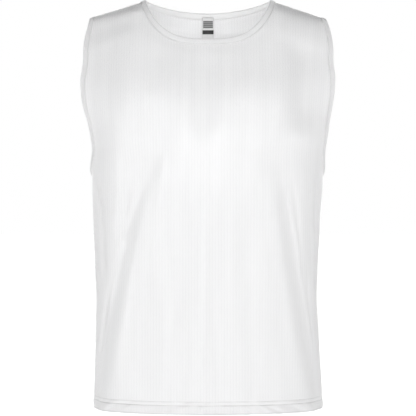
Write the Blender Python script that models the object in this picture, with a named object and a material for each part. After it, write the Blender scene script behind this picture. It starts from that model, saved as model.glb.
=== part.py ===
"""Sleeveless training bib in mesh polyester, hollow and filled out as it is worn.

Metres, +Z up. The front faces -Y and +X is the wearer's left. The origin lies
midway between the two shoulder seams, level with their neck ends.
"""
import bpy
import numpy as np
from math import pi

# Cut of the garment.
LENGTH = 0.7070           # from the neck end of the shoulder seam to the hem, at the centre
HEM_RISE = 0.0010         # the hem is this much higher at the side seams
NECK_HALF_WIDTH = 0.1075
SHOULDER_HALF_WIDTH = 0.2054
SHOULDER_SLOPE = 0.365
SHOULDER_SOFTENING = 0.05  # rounds the shoulder line off towards the centre
SHOULDER_ARCH = 0.060      # height over which the cloth turns over the shoulder
NECK_DROP = {"front": 0.0735, "back": 0.0150}
NECK_CURVE = {"front": (3.2, 1.3), "back": (2.0, 1.0)}   # exponents across and down
UNDERARM = 0.295           # from the shoulder's neck end down to the bottom of the armhole
ARMHOLE_REACH = {"front": 0.055, "back": 0.055}          # from the side seam's line
ARMHOLE_CURVE = (2.5, 2.2)                               # exponents down and across
BINDING = 0.0100           # finished width of the neck and armhole bindings
BINDING_TILT = 0.7         # share of that width that lies along Y at the armholes

# Cloth.
WALL = 0.0015
HEM_WALL = 0.0027          # two layers
HEM_DEPTH = 0.020
HEM_STEP = 0.0012
SEAM_GAP = 0.0003

# Neck label.
LABEL_WIDTH = 0.019
LABEL_LENGTH = 0.044
LABEL_WALL = 0.0010
LABEL_TUCK = 0.005         # how far its top lies behind the binding
LABEL_DEPTH = 0.0028       # from the outer face of the cloth in to the label

# Points along each edge.
SHOULDER_STEPS = 7
NECK_STEPS = 26
ARMHOLE_STEPS = 13
SIDE_STEPS = 16
HEM_ROWS = 3               # rows of points on the hem itself
GRID_PASSES = 500          # passes that even out the points inside a panel
CURVE_SAMPLES = 241        # points that each opening's curve is worked out from
SOLVER_PASSES = 8          # passes that settle a height on the sloping shoulder line

FRONT = -1                 # the sign of y on each side
BACK = 1
SIDE_NAMES = {FRONT: "front", BACK: "back"}

# The filled-out form, one row for each level. The half-widths run on past the
# armholes to where the sides would close.
SECTION_COLUMNS = ("down", "half_right", "half_left", "front", "back", "squareness")
SECTIONS = (
    (-0.030, 0.2500, 0.2500, 0.062, 0.066, 1.90),
    (0.000, 0.2510, 0.2520, 0.070, 0.078, 1.90),
    (0.050, 0.2456, 0.2474, 0.085, 0.095, 1.95),
    (0.100, 0.2450, 0.2460, 0.101, 0.107, 2.00),
    (0.140, 0.2468, 0.2465, 0.112, 0.113, 2.05),
    (0.180, 0.2390, 0.2372, 0.121, 0.115, 2.10),
    (0.222, 0.2208, 0.2215, 0.127, 0.113, 2.25),
    (0.262, 0.2085, 0.2090, 0.129, 0.110, 2.40),
    (0.300, 0.2034, 0.2018, 0.127, 0.107, 2.50),
    (0.347, 0.2005, 0.1970, 0.124, 0.103, 2.45),
    (0.410, 0.1980, 0.1935, 0.121, 0.099, 2.40),
    (0.472, 0.1955, 0.1900, 0.120, 0.098, 2.35),
    (0.514, 0.1935, 0.1885, 0.120, 0.099, 2.30),
    (0.556, 0.1942, 0.1905, 0.121, 0.102, 2.30),
    (0.600, 0.1955, 0.1932, 0.122, 0.106, 2.25),
    (0.660, 0.1972, 0.1970, 0.124, 0.110, 2.20),
    (0.740, 0.1995, 0.2005, 0.127, 0.113, 2.20),
)
SIDE_SHARPNESS = 2.3       # exponent of every section across its width
MEAN_DEPTH_RATIO = 0.62    # depth to half-width of the section that spaces the columns

# Folds, each a soft run down the cloth. Places across are measured round the
# body from the centre line, positive to the wearer's left. Lift is outwards.
FOLD_COLUMNS = ("side", "top", "bottom", "at_top", "at_middle", "at_bottom", "width", "lift")
FOLDS = (
    (FRONT, 0.290, 0.840, -0.104, -0.185, -0.269, 0.0150, -0.0050),
    (FRONT, 0.330, 0.840, -0.087, -0.160, -0.226, 0.0150, 0.0040),
    (FRONT, 0.290, 0.840, 0.121, 0.180, 0.263, 0.0150, -0.0050),
    (FRONT, 0.330, 0.840, 0.105, 0.153, 0.250, 0.0150, 0.0040),
    (FRONT, 0.260, 0.500, -0.080, -0.083, -0.108, 0.0130, 0.0028),
    (FRONT, 0.430, 0.580, -0.062, -0.060, -0.058, 0.0150, -0.0024),
    (FRONT, 0.250, 0.480, 0.076, 0.084, 0.100, 0.0130, 0.0022),
    (FRONT, 0.350, 0.640, 0.066, 0.070, 0.074, 0.0150, -0.0030),
    (FRONT, 0.290, 0.900, -0.007, -0.007, -0.012, 0.0210, 0.0044),
    (FRONT, 0.110, 0.290, 0.014, 0.014, 0.014, 0.0300, -0.0050),
    (FRONT, 0.040, 0.250, 0.166, 0.167, 0.168, 0.0340, -0.0056),
    (FRONT, 0.030, 0.300, -0.215, -0.222, -0.222, 0.0360, -0.0044),
    (FRONT, 0.040, 0.290, -0.142, -0.148, -0.158, 0.0330, 0.0060),
    (FRONT, 0.270, 0.420, -0.136, -0.145, -0.153, 0.0130, -0.0022),
    (BACK, 0.230, 0.700, 0.085, 0.128, 0.190, 0.0170, -0.0060),
    (BACK, 0.260, 0.640, 0.108, 0.150, 0.204, 0.0140, 0.0034),
    (BACK, 0.330, 0.700, 0.070, 0.103, 0.158, 0.0160, 0.0038),
    (BACK, 0.250, 0.680, -0.078, -0.120, -0.196, 0.0170, -0.0056),
    (BACK, 0.280, 0.650, -0.104, -0.148, -0.214, 0.0140, 0.0032),
    (BACK, 0.350, 0.720, -0.062, -0.098, -0.166, 0.0160, 0.0040),
    (BACK, 0.210, 0.620, 0.004, -0.004, 0.006, 0.0330, -0.0072),
    (BACK, 0.420, 0.700, 0.046, 0.052, 0.064, 0.0160, -0.0030),
    (BACK, 0.300, 0.760, -0.020, -0.024, -0.030, 0.0150, 0.0024),
    (BACK, 0.090, 0.240, 0.150, 0.154, 0.160, 0.0220, -0.0050),
    (BACK, 0.080, 0.250, -0.160, -0.156, -0.150, 0.0230, -0.0056),
)
FOLD_FADE = 0.15           # share of a fold's length over which each end dies away
SEAM_FADE = 0.05           # share of the half-girth over which folds die away at the sides

# Cross-section of a binding: how far in from the opening, how high over the cloth.
BINDING_COLUMNS = ("inset", "height")
BINDING_PROFILE = (
    (BINDING - SEAM_GAP / 2, 0.0002),
    (BINDING * 0.80, 0.0006),
    (BINDING * 0.20, 0.0006),
    (BINDING * 0.03, 0.0000),
    (0.0000, -0.0008),
    (BINDING * 0.04, -0.0017),
    (BINDING * 0.25, -0.0022),
    (BINDING - SEAM_GAP / 2, -0.0018),
)

COLOURS = {                # base colour and roughness
    "mesh_polyester": ((0.90, 0.90, 0.91), 0.62),
    "binding_polyester": ((0.86, 0.86, 0.87), 0.70),
    "label_satin": ((0.93, 0.93, 0.92), 0.45),
}


def column(columns, rows, name):
    return np.array([row[columns.index(name)] for row in rows])


def smooth_table(name, at):
    """Value of a section column at a level, by cubic pieces through its rows."""
    levels = column(SECTION_COLUMNS, SECTIONS, "down")
    values = column(SECTION_COLUMNS, SECTIONS, name)
    slopes = np.gradient(values, levels)
    at = np.clip(at, levels[0], levels[-1])
    k = np.clip(np.searchsorted(levels, at) - 1, 0, len(levels) - 2)
    step = levels[k + 1] - levels[k]
    u = (at - levels[k]) / step
    return (values[k] * (1 + 2 * u) * (1 - u) ** 2 + values[k + 1] * u * u * (3 - 2 * u)
            + step * u * (1 - u) * (slopes[k] * (1 - u) - slopes[k + 1] * u))


def girth_table(samples=400):
    """Angles round a quarter of the mean section and the girth up to each."""
    angle = np.linspace(0, pi / 2, samples)
    across = np.sin(angle) ** (2 / SIDE_SHARPNESS)
    deep = MEAN_DEPTH_RATIO * np.cos(angle) ** (2 / SIDE_SHARPNESS)
    run = np.concatenate(([0.0], np.cumsum(np.hypot(np.diff(across), np.diff(deep)))))
    return angle, run


ANGLES, GIRTHS = girth_table()


def half_width(w, level):
    return np.where(w < 0, smooth_table("half_right", level), smooth_table("half_left", level))


def shoulder_line(x):
    """Height of the shoulders over the origin's level, carried on across the neck."""
    soft = SHOULDER_SOFTENING
    return -SHOULDER_SLOPE * (np.hypot(x, soft) - np.hypot(NECK_HALF_WIDTH, soft))


def fall(v):
    """Height lost over a run v of cloth from the shoulder line, round the arch and down."""
    turn = SHOULDER_ARCH * pi / 2
    return np.where(v < turn, SHOULDER_ARCH * (1 - np.cos(v / SHOULDER_ARCH)),
                    SHOULDER_ARCH + v - turn)


def run_for_fall(h):
    """The run of cloth that loses a height h."""
    h = np.maximum(h, 0.0)
    turned = SHOULDER_ARCH * np.arccos(np.clip(1 - h / SHOULDER_ARCH, -1, 1))
    return np.where(h < SHOULDER_ARCH, turned, h + SHOULDER_ARCH * (pi / 2 - 1))


def arch(v):
    """Share of the full depth that the cloth has reached over the shoulder."""
    return np.sin(np.minimum(v / SHOULDER_ARCH, pi / 2))


def form(side, w, v):
    """Point of the smooth form: w is the share of the half-girth, v the run down the cloth."""
    angle = np.interp(np.abs(w), GIRTHS / GIRTHS[-1], ANGLES)
    z = -np.asarray(v, dtype=float)
    for _ in range(SOLVER_PASSES):
        x = np.sign(w) * half_width(w, -z) * np.sin(angle) ** (2 / SIDE_SHARPNESS)
        z = shoulder_line(x) - fall(v)
    depth = smooth_table(SIDE_NAMES[side], -z)
    y = side * depth * np.cos(angle) ** (2 / smooth_table("squareness", -z)) * arch(v)
    return np.stack((x, y, z), axis=-1)


def form_normal(side, w, v):
    """Outward normal, level with the seam along both seams so that cut edges stay parallel."""
    d = 0.002
    across = form(side, np.clip(w + d, -1, 1), v) - form(side, np.clip(w - d, -1, 1), v)
    down = form(side, w, v + d) - form(side, w, v - d)
    n = side * np.cross(across, down)
    n[(np.abs(w) > 1 - 1e-6) | (v < 1e-6), 1] = 0.0
    return n / np.linalg.norm(n, axis=-1, keepdims=True)


def ease(u):
    u = np.clip(u, 0, 1)
    return u * u * (3 - 2 * u)


def fold_lift(side, w, z):
    """Total lift of the folds at a place on one side of the garment."""
    across = w * half_width(w, -z) * GIRTHS[-1]
    total = np.zeros_like(across)
    for row in FOLDS:
        fold = dict(zip(FOLD_COLUMNS, row))
        if fold["side"] != side:
            continue
        u = (-z - fold["top"]) / (fold["bottom"] - fold["top"])
        path = (fold["at_top"] * (1 - u) * (1 - 2 * u) + fold["at_middle"] * 4 * u * (1 - u)
                + fold["at_bottom"] * u * (2 * u - 1))
        ends = ease(u / FOLD_FADE) * ease((1 - u) / FOLD_FADE)
        total += fold["lift"] * ends * np.exp(-((across - path) / fold["width"]) ** 2)
    return total * ease((1 - np.abs(w)) / SEAM_FADE)


def cloth(side, w, v, height=0.0, gap=0.0):
    """Point on the cloth, raised by height, and kept half a gap clear of the seams."""
    w = np.asarray(w, dtype=float)
    v = np.asarray(v, dtype=float)
    point = form(side, w, v)
    normal = form_normal(side, w, v)
    lift = fold_lift(side, w, point[..., 2]) + height
    point = point + normal * lift[..., None]
    point[..., 1] = side * np.maximum(side * point[..., 1], gap / 2)
    return point


def share_of_girth(x, z):
    """The w of a point whose x and z are known."""
    reach = np.clip(np.abs(x) / half_width(x, -z), 0, 1)
    angle = np.arcsin(reach ** (SIDE_SHARPNESS / 2))
    return np.sign(x) * np.interp(angle, ANGLES, GIRTHS / GIRTHS[-1])


def even(side, w, v, steps):
    """The same line with its points evenly spaced along the cloth."""
    p = form(side, w, v)
    run = np.concatenate(([0.0], np.cumsum(np.linalg.norm(np.diff(p, axis=0), axis=1))))
    at = np.linspace(0, run[-1], steps + 1)
    return np.interp(at, run, w), np.interp(at, run, v)


def shoulder_end(inset):
    """Half-width at which the shoulder seam ends, inset from the armhole opening."""
    return SHOULDER_HALF_WIDTH - inset / np.hypot(1, SHOULDER_SLOPE)


def neckline(side, inset):
    """Neckline from the wearer's right to left, inset from the opening's edge."""
    half = NECK_HALF_WIDTH + inset / np.hypot(1, SHOULDER_SLOPE)
    top = shoulder_line(half)
    drop = NECK_DROP[SIDE_NAMES[side]] + inset + top
    across, deep = NECK_CURVE[SIDE_NAMES[side]]
    turn = np.linspace(pi, 0, CURVE_SAMPLES)
    x = half * np.sign(np.cos(turn)) * np.abs(np.cos(turn)) ** (2 / across)
    z = top - drop * np.sin(turn) ** (2 / deep)
    v = run_for_fall(shoulder_line(x) - z)
    v[[0, -1]] = 0.0
    return even(side, share_of_girth(x, z), v, NECK_STEPS)


def armhole(side, hand, inset):
    """Armhole from the shoulder to the side seam, inset from the opening's edge."""
    top = shoulder_line(shoulder_end(inset))
    bottom = -UNDERARM - inset
    reach = ARMHOLE_REACH[SIDE_NAMES[side]] + BINDING_TILT * inset
    down, across = ARMHOLE_CURVE
    turn = np.linspace(0, pi, CURVE_SAMPLES)
    height = np.sign(np.cos(turn)) * np.abs(np.cos(turn)) ** (2 / down)
    z = (top + bottom) / 2 + (top - bottom) / 2 * height
    y = reach * np.sin(turn) ** (2 / across)
    w = np.empty_like(z)
    v = np.empty_like(z)
    depth = smooth_table(SIDE_NAMES[side], -z)
    square = smooth_table("squareness", -z)
    for i in range(len(z)):
        x = half_width(hand, -z[i]) * np.sin(ANGLES) ** (2 / SIDE_SHARPNESS)
        run = run_for_fall(shoulder_line(x) - z[i])
        deep = depth[i] * np.cos(ANGLES) ** (2 / square[i]) * arch(run)
        w[i] = np.interp(-y[i], -deep, GIRTHS / GIRTHS[-1])
        v[i] = np.interp(-y[i], -deep, run)
    w[0] = share_of_girth(shoulder_end(inset), top)
    v[0] = 0.0
    w[-1] = 1.0
    return even(side, hand * w, v, ARMHOLE_STEPS)


def hem_run(w):
    """The v of the hem at each w."""
    z = -LENGTH + HEM_RISE * np.abs(w) ** 3
    v = -z
    for _ in range(SOLVER_PASSES):
        x = form(FRONT, w, v)[..., 0]
        v = run_for_fall(shoulder_line(x) - z)
    return v


def panel_grid(side):
    """Pattern coordinates of one panel, filled in between its four edges."""
    inset = BINDING + SEAM_GAP / 2
    neck_w, neck_v = neckline(side, inset)
    shoulder = np.linspace(shoulder_end(inset), abs(form(side, neck_w[:1], neck_v[:1])[0, 0]),
                           SHOULDER_STEPS + 1)[:-1]
    shoulder_w = share_of_girth(shoulder, shoulder_line(shoulder))
    top = np.stack((np.concatenate((-shoulder_w, neck_w, shoulder_w[::-1])),
                    np.concatenate((0 * shoulder, neck_v, 0 * shoulder))), axis=-1)
    bottom_w = np.linspace(-1, 1, len(top))
    bottom = np.stack((bottom_w, hem_run(bottom_w)), axis=-1)

    edges = []
    for hand in (-1, 1):
        arm_w, arm_v = armhole(side, hand, inset)
        hem_v = hem_run(np.array([float(hand)]))[0]
        side_v = np.linspace(arm_v[-1], hem_v - HEM_DEPTH - HEM_STEP, SIDE_STEPS + 1)[1:]
        side_v = np.concatenate((side_v, [hem_v - HEM_DEPTH, hem_v - HEM_DEPTH / 2, hem_v]))
        edges.append(np.stack((np.concatenate((arm_w, hand + 0 * side_v)),
                               np.concatenate((arm_v, side_v))), axis=-1))
    right, left = edges

    t = ((right[:, 1] - right[0, 1]) / (right[-1, 1] - right[0, 1]))[:, None, None]
    s = ((top[:, 0] - top[0, 0]) / (top[-1, 0] - top[0, 0]))[None, :, None]
    grid = ((1 - s) * right[:, None] + s * left[:, None] + (1 - t) * top[None] + t * bottom[None]
            - (1 - t) * ((1 - s) * right[0] + s * left[0])
            - t * ((1 - s) * right[-1] + s * left[-1]))
    for _ in range(GRID_PASSES):
        inside = grid[:-HEM_ROWS]
        inside[1:-1, 1:-1] = (inside[:-2, 1:-1] + inside[2:, 1:-1]
                              + inside[1:-1, :-2] + inside[1:-1, 2:]) / 4
    return grid[..., 0], grid[..., 1]


def new_object(name, verts, faces, finish):
    mesh = bpy.data.meshes.new(name)
    mesh.from_pydata([tuple(p) for p in verts], [], faces)
    mesh.materials.append(finish)
    mesh.validate()
    mesh.shade_smooth()
    mesh.set_sharp_from_angle(angle=pi / 4)
    obj = bpy.data.objects.new(name, mesh)
    bib.objects.link(obj)
    return obj


def wall(name, outer, inner, finish):
    """Closed sheet between two matching grids of points, rows running down the cloth."""
    rows, cols = outer.shape[:2]
    verts = np.concatenate((outer.reshape(-1, 3), inner.reshape(-1, 3)))
    back = rows * cols
    faces = []
    for i in range(rows - 1):
        for j in range(cols - 1):
            a, b = i * cols + j, i * cols + j + 1
            c, d = b + cols, a + cols
            faces.append((a, d, c, b))
            faces.append((back + a, back + b, back + c, back + d))
    rim = ([j for j in range(cols)] + [i * cols + cols - 1 for i in range(1, rows)]
           + [(rows - 1) * cols + j for j in range(cols - 2, -1, -1)]
           + [i * cols for i in range(rows - 2, 0, -1)])
    for a, b in zip(rim, rim[1:] + rim[:1]):
        faces.append((a, b, back + b, back + a))
    return new_object(name, verts, faces, finish)


def ring(name, loops, finish):
    """Closed band through loops of points, one loop for each point of its profile."""
    count, around = loops.shape[:2]
    faces = []
    for i in range(count):
        for j in range(around):
            k, m = (i + 1) % count, (j + 1) % around
            faces.append((i * around + j, i * around + m, k * around + m, k * around + j))
    return new_object(name, loops.reshape(-1, 3), faces, finish)


def panel(name, side, finish):
    w, v = panel_grid(side)
    thick = np.full(w.shape, WALL)
    thick[-HEM_ROWS:] = HEM_WALL
    outer = cloth(side, w, v, 0.0, SEAM_GAP)
    inner = cloth(side, w, v, -thick, SEAM_GAP)
    if side == BACK:
        outer, inner = outer[:, ::-1], inner[:, ::-1]
    return wall(name, outer, inner, finish)


def binding(name, edge, finish, mirrored=False):
    """Band that runs along the front edge of an opening and back along the rear one."""
    loops = []
    insets = column(BINDING_COLUMNS, BINDING_PROFILE, "inset")
    heights = column(BINDING_COLUMNS, BINDING_PROFILE, "height")
    for inset, height in zip(insets, heights):
        front_w, front_v = edge(FRONT, inset)
        back_w, back_v = edge(BACK, inset)
        front = cloth(FRONT, front_w, front_v, height)
        back = cloth(BACK, back_w, back_v, height)
        front[[0, -1], 1] = 0.0
        loops.append(np.concatenate((front, back[-2:0:-1])))
    loops = np.array(loops)
    return ring(name, loops[::-1] if mirrored else loops, finish)


def label(name, finish):
    """Cloth tab that hangs inside the centre back, its top behind the binding."""
    across = np.linspace(LABEL_WIDTH / 2, -LABEL_WIDTH / 2, 5)
    down = np.linspace(0, LABEL_LENGTH, 9)
    x = np.tile(across, (len(down), 1))
    z = -(NECK_DROP["back"] + BINDING - LABEL_TUCK + np.tile(down[:, None], (1, len(across))))
    w = share_of_girth(x, z)
    v = run_for_fall(shoulder_line(x) - z)
    return wall(name, cloth(BACK, w, v, -LABEL_DEPTH),
                cloth(BACK, w, v, -LABEL_DEPTH - LABEL_WALL), finish)


def material(name):
    colour, roughness = COLOURS[name]
    finish = bpy.data.materials.new(name)
    finish.use_nodes = True
    shader = finish.node_tree.nodes["Principled BSDF"]
    shader.inputs["Base Color"].default_value = (*colour, 1.0)
    shader.inputs["Roughness"].default_value = roughness
    shader.inputs["Metallic"].default_value = 0.0
    return finish


for old in list(bpy.data.objects):
    bpy.data.objects.remove(old)
bib = bpy.data.collections.new("training_bib")
bpy.context.scene.collection.children.link(bib)

finishes = {name: material(name) for name in COLOURS}
panel("front_panel", FRONT, finishes["mesh_polyester"])
panel("back_panel", BACK, finishes["mesh_polyester"])
binding("neck_binding", neckline, finishes["binding_polyester"])
binding("armhole_binding_left", lambda side, inset: armhole(side, 1, inset),
        finishes["binding_polyester"])
binding("armhole_binding_right", lambda side, inset: armhole(side, -1, inset),
        finishes["binding_polyester"], mirrored=True)
label("neck_label", finishes["label_satin"])
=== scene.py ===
from math import pi, radians

import bpy
import numpy as np
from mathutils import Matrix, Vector


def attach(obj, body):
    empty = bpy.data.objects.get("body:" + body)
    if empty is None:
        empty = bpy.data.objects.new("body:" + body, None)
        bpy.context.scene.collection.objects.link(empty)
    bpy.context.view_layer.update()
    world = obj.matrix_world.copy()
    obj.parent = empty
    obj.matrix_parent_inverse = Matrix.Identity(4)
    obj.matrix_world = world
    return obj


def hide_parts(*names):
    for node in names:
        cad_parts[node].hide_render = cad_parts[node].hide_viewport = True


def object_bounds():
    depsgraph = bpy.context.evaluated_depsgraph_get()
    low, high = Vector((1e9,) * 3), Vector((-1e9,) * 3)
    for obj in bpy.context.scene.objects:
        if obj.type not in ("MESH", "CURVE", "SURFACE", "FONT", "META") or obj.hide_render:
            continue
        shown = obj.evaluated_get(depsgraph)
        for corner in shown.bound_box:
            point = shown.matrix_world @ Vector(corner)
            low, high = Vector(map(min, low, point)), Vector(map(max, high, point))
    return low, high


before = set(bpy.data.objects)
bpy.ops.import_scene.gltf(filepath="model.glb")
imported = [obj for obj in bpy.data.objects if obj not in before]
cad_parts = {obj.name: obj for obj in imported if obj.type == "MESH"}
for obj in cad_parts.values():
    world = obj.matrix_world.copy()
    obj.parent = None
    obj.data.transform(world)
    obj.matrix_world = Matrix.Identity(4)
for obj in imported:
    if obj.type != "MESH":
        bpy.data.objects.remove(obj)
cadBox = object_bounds()
bpy.ops.object.select_all(action="DESELECT")
print("frame loaded:", ", ".join(sorted(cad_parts)))

front, back = -1, 1                          # the sign of y on each side
sideName = {front: "front", back: "back"}

# metres; the bib's own frame: -Y is the front, +X the wearer's left, z 0 the neck end of the shoulders
cut = {
    "length": 0.7070,                        # down to the hem at the centre
    "hemRise": 0.0010,                       # the hem is this much higher at the side seams
    "neckHalf": 0.1075,
    "neckDrop": {front: 0.0735, back: 0.0150},
    "neckCurve": {front: (3.2, 1.3), back: (2.0, 1.0)},   # exponents across and down
    "shoulderHalf": 0.2054,
    "slope": 0.365,
    "soften": 0.05,                          # rounds the shoulder line towards the centre
    "arch": 0.060,                           # height over which the cloth turns over the shoulder
    "underarm": 0.295,
    "armReach": 0.055,                       # from the side seam's line to each edge of the armhole
    "armCurve": (2.5, 2.2),                  # exponents down and across
    "band": 0.0100,                          # finished width of the bindings
    "bandTilt": 0.7,                         # share of it that lies along Y at the armholes
    "seam": 0.0003,
    "hem": 0.0215,
}

# the filled-out form, a row for each level
sectionColumns = ("down", "halfRight", "halfLeft", "front", "back", "squareness")
sections = (
    (-0.030, 0.2500, 0.2500, 0.062, 0.066, 1.90),
    (0.000, 0.2510, 0.2520, 0.070, 0.078, 1.90),
    (0.050, 0.2456, 0.2474, 0.085, 0.095, 1.95),
    (0.100, 0.2450, 0.2460, 0.101, 0.107, 2.00),
    (0.140, 0.2468, 0.2465, 0.112, 0.113, 2.05),
    (0.180, 0.2390, 0.2372, 0.121, 0.115, 2.10),
    (0.222, 0.2208, 0.2215, 0.127, 0.113, 2.25),
    (0.262, 0.2085, 0.2090, 0.129, 0.110, 2.40),
    (0.300, 0.2034, 0.2018, 0.127, 0.107, 2.50),
    (0.347, 0.2005, 0.1970, 0.124, 0.103, 2.45),
    (0.410, 0.1980, 0.1935, 0.121, 0.099, 2.40),
    (0.472, 0.1955, 0.1900, 0.120, 0.098, 2.35),
    (0.514, 0.1935, 0.1885, 0.120, 0.099, 2.30),
    (0.556, 0.1942, 0.1905, 0.121, 0.102, 2.30),
    (0.600, 0.1955, 0.1932, 0.122, 0.106, 2.25),
    (0.660, 0.1972, 0.1970, 0.124, 0.110, 2.20),
    (0.740, 0.1995, 0.2005, 0.127, 0.113, 2.20),
)
sideSharpness = 2.3                          # exponent of every section across its width
depthRatio = 0.62                            # of the mean section, which spaces the columns
quarterSteps = 400                           # points that measure its girth
edgeSteps = 481                              # points that draw an opening's edge before it is spaced out
rounds = 8                                   # times that a place and its height are worked out in turn

# folds run down the cloth; places across go round the body from the centre line, positive to the left
foldColumns = ("side", "top", "bottom", "atTop", "atMiddle", "atBottom", "width", "lift")
folds = (
    (front, 0.250, 0.840, -0.098, -0.181, -0.269, 0.0170, -0.0032),
    (front, 0.270, 0.840, -0.075, -0.148, -0.222, 0.0200, 0.0031),
    (front, 0.250, 0.840, 0.123, 0.176, 0.263, 0.0170, -0.0034),
    (front, 0.280, 0.840, 0.106, 0.146, 0.244, 0.0200, 0.0030),
    (front, 0.260, 0.500, -0.080, -0.083, -0.108, 0.0110, 0.0028),
    (front, 0.430, 0.580, -0.062, -0.060, -0.058, 0.0130, -0.0024),
    (front, 0.250, 0.520, 0.072, 0.084, 0.104, 0.0150, 0.0014),
    (front, 0.350, 0.640, 0.066, 0.070, 0.074, 0.0140, -0.0030),
    (front, 0.270, 0.900, -0.007, -0.007, -0.012, 0.0070, 0.0014),
    (front, 0.290, 0.900, -0.007, -0.007, -0.012, 0.0210, 0.0044),
    (front, 0.030, 0.300, -0.215, -0.222, -0.222, 0.0360, -0.0044),
    (front, 0.040, 0.290, -0.124, -0.130, -0.140, 0.0360, 0.0058),
    (front, 0.270, 0.420, -0.136, -0.145, -0.153, 0.0110, -0.0020),
    (back, 0.230, 0.700, 0.085, 0.128, 0.190, 0.0170, -0.0060),
    (back, 0.260, 0.640, 0.108, 0.150, 0.204, 0.0140, 0.0034),
    (back, 0.330, 0.700, 0.070, 0.103, 0.158, 0.0160, 0.0038),
    (back, 0.250, 0.680, -0.078, -0.120, -0.196, 0.0170, -0.0056),
    (back, 0.280, 0.650, -0.104, -0.148, -0.214, 0.0140, 0.0032),
    (back, 0.350, 0.720, -0.062, -0.098, -0.166, 0.0160, 0.0040),
    (back, 0.210, 0.620, 0.004, -0.004, 0.006, 0.0330, -0.0072),
    (back, 0.420, 0.700, 0.046, 0.052, 0.064, 0.0160, -0.0030),
    (back, 0.300, 0.760, -0.020, -0.024, -0.030, 0.0150, 0.0024),
    (back, 0.090, 0.240, 0.150, 0.154, 0.160, 0.0220, -0.0050),
    (back, 0.080, 0.250, -0.160, -0.156, -0.150, 0.0230, -0.0056),
)
foldFade = 0.16                              # share of a fold's length over which each end dies away
seamFade = 0.05                              # share of the half-girth over which all of them die away

# finer creases, each a bowed line from one place to another; widths lie before it and past it
creaseColumns = ("side", "across", "down", "toAcross", "toDown", "bow", "before", "past", "lift")
creases = (
    (front, -0.095, 0.026, -0.232, 0.043, 0.000, 0.012, 0.012, 0.0046),    # under the shoulder seams
    (front, 0.100, 0.026, 0.232, 0.046, 0.000, 0.011, 0.016, 0.0020),
    (front, -0.280, 0.264, 0.080, 0.264, 0.000, 0.022, 0.040, -0.0018),    # below the chest
    (front, -0.020, 0.264, 0.290, 0.262, 0.002, 0.022, 0.036, -0.0030),
    (front, -0.007, 0.060, -0.007, 0.275, 0.000, 0.021, 0.021, -0.0040),   # between the fuller parts
    (front, 0.170, 0.036, 0.170, 0.250, 0.000, 0.065, 0.034, -0.0084),     # before the left arm
    (front, 0.128, 0.060, 0.130, 0.235, 0.002, 0.026, 0.016, 0.0020),
    (front, -0.134, 0.060, -0.150, 0.250, -0.004, 0.012, 0.030, 0.0012),
    (front, -0.080, 0.090, -0.098, 0.170, 0.000, 0.014, 0.016, -0.0010),
    (front, -0.232, 0.290, -0.196, 0.400, -0.006, 0.008, 0.006, -0.0030),  # down the right side
    (front, -0.196, 0.380, -0.193, 0.490, 0.000, 0.006, 0.008, -0.0026),
    (front, -0.176, 0.485, -0.217, 0.640, 0.003, 0.005, 0.005, -0.0018),
    (front, -0.126, 0.285, -0.151, 0.400, 0.002, 0.007, 0.006, -0.0008),
    (front, -0.112, 0.300, -0.182, 0.500, 0.004, 0.004, 0.005, 0.0008),
    (front, -0.150, 0.420, -0.212, 0.640, 0.002, 0.004, 0.004, 0.0008),
    (front, 0.128, 0.290, 0.172, 0.500, -0.004, 0.004, 0.004, 0.0009),     # down the left side
    (front, 0.141, 0.285, 0.166, 0.435, -0.003, 0.005, 0.004, -0.0009),
    (front, 0.150, 0.420, 0.214, 0.640, -0.002, 0.004, 0.004, 0.0008),
    (front, 0.205, 0.300, 0.212, 0.420, 0.003, 0.008, 0.007, -0.0028),
    (front, 0.199, 0.365, 0.218, 0.610, 0.004, 0.005, 0.005, 0.0009),
    (front, 0.180, 0.440, 0.214, 0.640, 0.003, 0.004, 0.005, -0.0009),
    (back, 0.008, 0.052, 0.088, 0.036, 0.003, 0.005, 0.006, 0.0024),       # inside the neck
    (back, 0.010, 0.066, 0.074, 0.056, -0.002, 0.004, 0.005, -0.0020),
    (back, -0.086, 0.040, -0.018, 0.056, -0.003, 0.006, 0.006, 0.0018),
    (back, 0.228, 0.300, 0.192, 0.410, 0.006, 0.006, 0.005, -0.0015),      # beside the back's seams
    (back, -0.226, 0.310, -0.196, 0.430, -0.006, 0.005, 0.006, -0.0014),
    (back, 0.120, 0.300, 0.158, 0.470, -0.004, 0.005, 0.004, 0.0009),
    (back, -0.110, 0.290, -0.150, 0.450, 0.004, 0.004, 0.005, 0.0009),
    (back, -0.175, 0.470, -0.212, 0.630, 0.003, 0.004, 0.005, -0.0009),
    (back, 0.178, 0.480, 0.210, 0.600, -0.003, 0.005, 0.004, -0.0008),
    (back, -0.160, 0.262, 0.150, 0.258, 0.006, 0.014, 0.030, -0.0012),
)
creaseFade = 0.3                             # share of a crease's length over which each end dies away

# broad fullness: where it is, how far it reaches each way, how high it stands
fullnessColumns = ("side", "across", "down", "reachAcross", "reachDown", "lift")
fullness = (
    (front, -0.094, 0.160, 0.060, 0.046, 0.0036),
    (front, 0.080, 0.158, 0.060, 0.046, 0.0038),
    (back, -0.088, 0.170, 0.050, 0.055, 0.0026),
    (back, 0.084, 0.162, 0.048, 0.052, 0.0030),
)

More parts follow.
